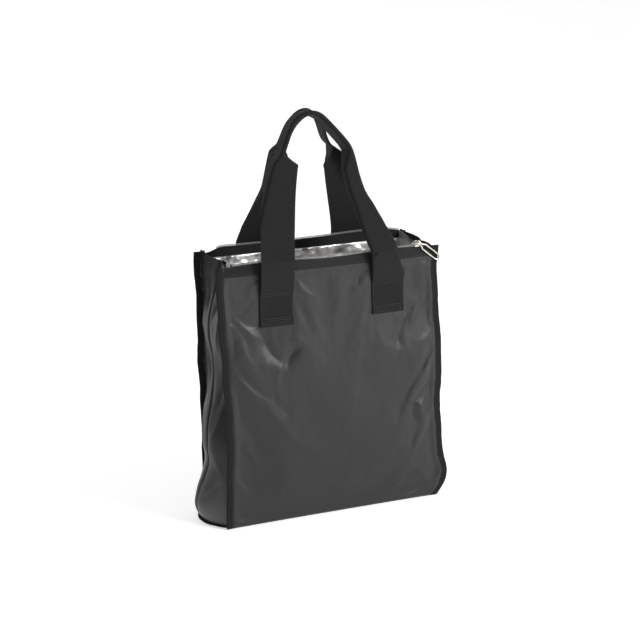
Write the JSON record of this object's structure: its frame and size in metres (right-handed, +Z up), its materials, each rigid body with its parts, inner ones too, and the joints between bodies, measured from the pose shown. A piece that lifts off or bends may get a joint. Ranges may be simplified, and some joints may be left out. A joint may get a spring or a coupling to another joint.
{
  "type": "foldable tote bag",
  "caption": "Soft box-shaped tote with pleated side gussets, a foil-lined foam wall, a coil zip along its mouth and webbing handle loops; it folds flat.",
  "frame": {"origin": "on the floor under the middle of the bag", "axes": "+Z up, +X along the mouth to the right seen from the front, front wall towards -Y"},
  "size_m": [0.339, 0.113, 0.5329],
  "materials": {
    "nylon": "plain-weave nylon with a slight sheen, softly creased",
    "foam": "thin closed-cell foam",
    "foil": "crinkled metallised film",
    "binding": "ribbed grosgrain tape",
    "zip_tape": "woven zip tape",
    "coil": "smooth moulded coil",
    "webbing": "ribbed woven webbing",
    "metal": "bright plated metal"
  },
  "bodies": {
    "soft_core": {"gusset_left_shell": "nylon", "gusset_left_lining": "foil", "gusset_right_shell": "nylon", "gusset_right_lining": "foil", "base_shell": "nylon", "base_foam": "foam", "base_lining": "foil", "base_binding_left": "binding", "base_binding_right": "binding", "zip_end_tape": "zip_tape"},
    "front_wall": {"front_shell": "nylon", "front_foam": "foam", "front_lining": "foil", "front_binding_left": "binding", "front_binding_right": "binding", "front_zip_tape": "zip_tape", "front_zip_coil": "coil", "front_zip_stop": "metal", "front_patch_left": "webbing", "front_patch_right": "webbing"},
    "rear_wall": {"rear_shell": "nylon", "rear_foam": "foam", "rear_lining": "foil", "rear_binding_left": "binding", "rear_binding_right": "binding", "rear_zip_tape": "zip_tape", "rear_zip_coil": "coil", "rear_zip_stop": "metal", "rear_patch_left": "webbing", "rear_patch_right": "webbing"},
    "front_handle_root": {"front_strap_root_left": "webbing", "front_strap_root_right": "webbing"},
    "front_handle": {"front_riser_left": "webbing", "front_riser_right": "webbing", "front_grip": "webbing"},
    "rear_handle_root": {"rear_strap_root_left": "webbing", "rear_strap_root_right": "webbing"},
    "rear_handle": {"rear_riser_left": "webbing", "rear_riser_right": "webbing", "rear_grip": "webbing"},
    "zip_slider": {"slider_body": "metal", "slider_pin": "metal"},
    "zip_pull": {"zip_pull": "metal"}
  },
  "joints": [
    {"name": "fold_flat", "type": "slide", "parent": "soft_core", "child": "front_wall", "axis": [0, 1, 0], "range_m": [0, 0.042], "deforming": ["gusset_left_shell", "gusset_left_lining", "gusset_right_shell", "gusset_right_lining", "base_shell", "base_foam", "base_lining", "base_binding_left", "base_binding_right", "zip_end_tape"]},
    {"name": "fold_flat_rear", "type": "slide", "parent": "soft_core", "child": "rear_wall", "axis": [0, -1, 0], "range_m": [0, 0.0422]},
    {"name": "front_root_tilt", "type": "hinge", "parent": "front_wall", "child": "front_handle_root", "pos_m": [0, -0.0486, 0.3102], "axis": [1, 0, 0], "range_deg": [0, 12.1]},
    {"name": "rear_root_tilt", "type": "hinge", "parent": "rear_wall", "child": "rear_handle_root", "pos_m": [0, 0.0486, 0.3102], "axis": [-1, 0, 0], "range_deg": [0, 12.1]},
    {"name": "front_handle_swing", "type": "hinge", "parent": "front_handle_root", "child": "front_handle", "pos_m": [0, -0.05647, 0.35176], "axis": [1, 0, 0], "range_deg": [0, 165]},
    {"name": "rear_handle_swing", "type": "hinge", "parent": "rear_handle_root", "child": "rear_handle", "pos_m": [0, 0.05647, 0.35176], "axis": [-1, 0, 0], "range_deg": [0, 165]},
    {"name": "zip_travel", "type": "slide", "parent": "front_wall", "child": "zip_slider", "axis": [-1, 0, 0], "range_m": [0, 0.256]},
    {"name": "pull_swing", "type": "hinge", "parent": "zip_slider", "child": "zip_pull", "pos_m": [0.12, -0.0489, 0.3544], "axis": [0, 1, 0], "range_deg": [-128, 58]}
  ],
  "couplings": [
    {"joint": "fold_flat_rear", "follows": "fold_flat", "ratio": 1},
    {"joint": "front_root_tilt", "follows": "fold_flat", "rad_per_m": 4.9867},
    {"joint": "rear_root_tilt", "follows": "fold_flat", "rad_per_m": 4.9867},
    {"joint": "zip_travel", "follows": "fold_flat", "ratio": 6.0714}
  ]
}
